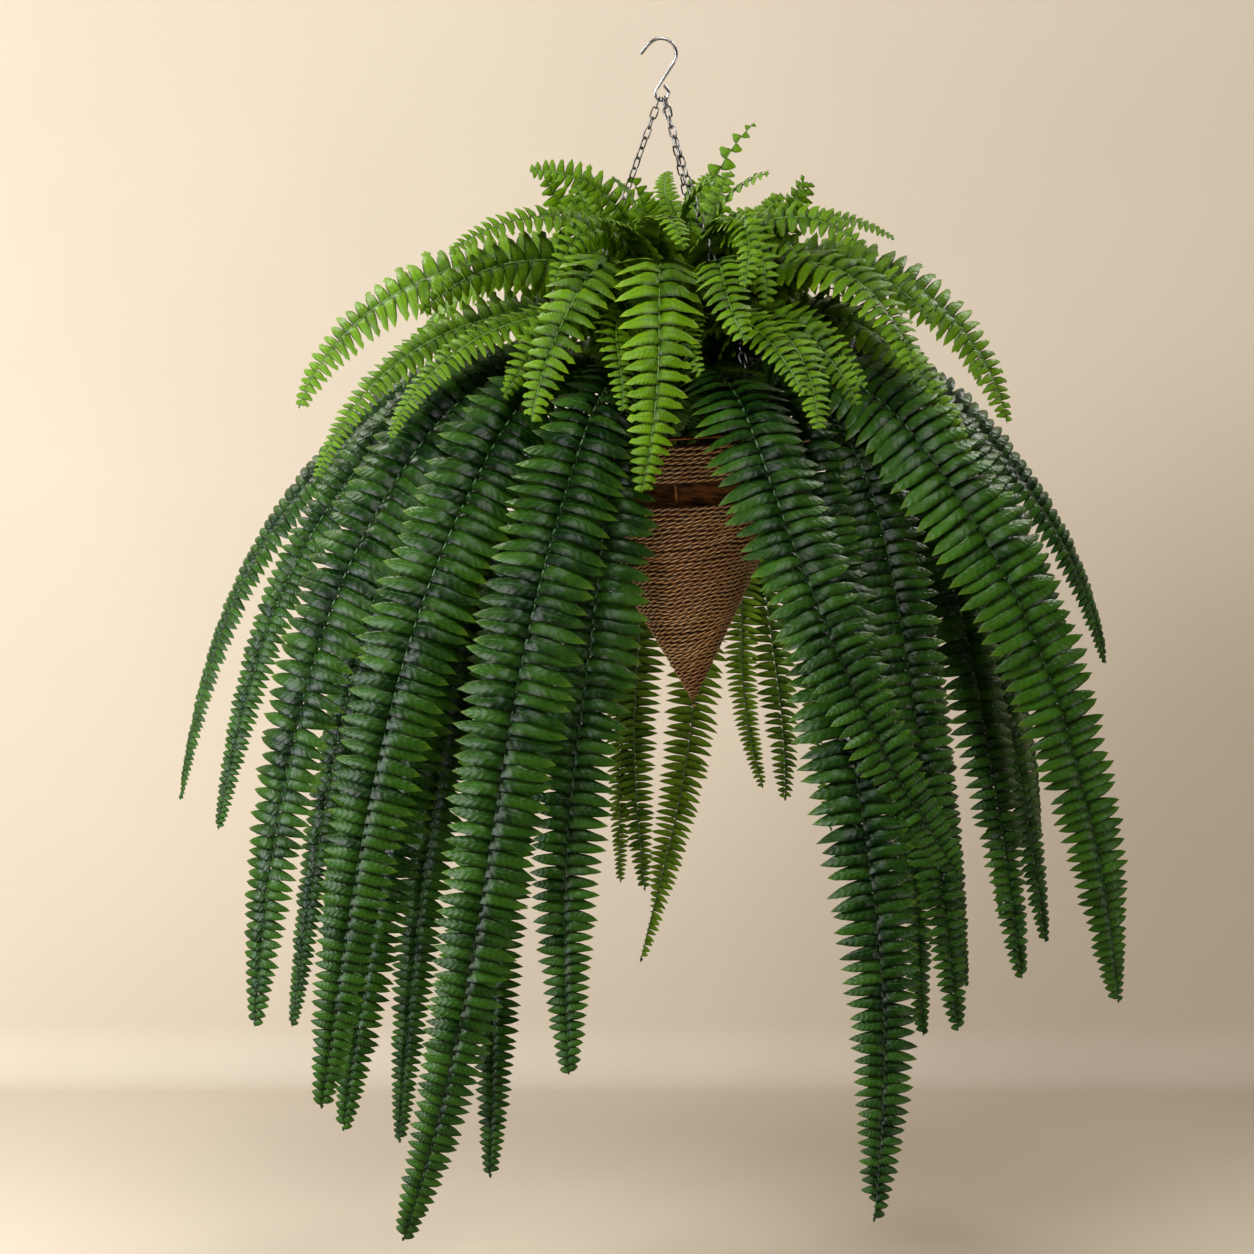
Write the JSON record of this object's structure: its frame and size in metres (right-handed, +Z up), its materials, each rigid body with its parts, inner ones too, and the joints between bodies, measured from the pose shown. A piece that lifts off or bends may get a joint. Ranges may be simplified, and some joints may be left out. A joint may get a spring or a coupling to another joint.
{
  "type": "boston fern in a hanging basket",
  "caption": "Boston fern with long arching fronds in a rope-wound cone basket, hung by chains from an open wire hook.",
  "frame": {"origin": "inner surface of the hook's crook at its highest point, where it bears on whatever it hangs from", "axes": "+Z up; -Y towards the plant's front, where the bare basket shows; +X to the right seen from the front; the hook lies in the XZ plane"},
  "size_m": [0.9512, 0.7417, 1.1165],
  "materials": {
    "steel": "satin galvanised wire",
    "rope": "twisted natural-fibre rope, matt",
    "liner_fibre": "matted coarse fibre",
    "soil": "moist potting soil",
    "frond_mature": "dark green leaf, half glossy",
    "frond_young": "bright green leaf, half glossy"
  },
  "bodies": {
    "root": {"hook": "steel", "chain_left": "steel", "chain_back": "steel", "chain_front": "steel", "basket_frame": "steel", "rope_upper": "rope", "rope_lower": "rope", "liner": "liner_fibre", "soil": "soil", "frond_mature_01": "frond_mature", "frond_mature_02": "frond_mature", "frond_mature_03": "frond_mature", "frond_mature_04": "frond_mature", "frond_mature_05": "frond_mature", "frond_mature_06": "frond_mature", "frond_mature_07": "frond_mature", "frond_mature_08": "frond_mature", "frond_mature_09": "frond_mature", "frond_mature_10": "frond_mature", "frond_mature_11": "frond_mature", "frond_mature_12": "frond_mature", "frond_mature_13": "frond_mature", "frond_mature_14": "frond_mature", "frond_mature_15": "frond_mature", "frond_mature_16": "frond_mature", "frond_mature_17": "frond_mature", "frond_mature_18": "frond_mature", "frond_mature_19": "frond_mature", "frond_mature_20": "frond_mature", "frond_mature_21": "frond_mature", "frond_mature_22": "frond_mature", "frond_mature_23": "frond_mature", "frond_mature_24": "frond_mature", "frond_mature_25": "frond_mature", "frond_mature_26": "frond_mature", "frond_mature_27": "frond_mature", "frond_mature_28": "frond_mature", "frond_mature_29": "frond_mature", "frond_mature_30": "frond_mature", "frond_mature_31": "frond_mature", "frond_mature_32": "frond_mature", "frond_mature_33": "frond_mature", "frond_young_01": "frond_young", "frond_young_02": "frond_young", "frond_young_03": "frond_young", "frond_young_04": "frond_young", "frond_young_05": "frond_young", "frond_young_06": "frond_young", "frond_young_07": "frond_young", "frond_young_08": "frond_young", "frond_young_09": "frond_young", "frond_young_10": "frond_young", "frond_young_11": "frond_young", "frond_young_12": "frond_young", "frond_young_13": "frond_young", "frond_young_14": "frond_young", "frond_young_15": "frond_young", "fronds_crown_left": "frond_young", "fronds_crown_right": "frond_young", "fronds_crown_back": "frond_young"}
  },
  "joints": []
}
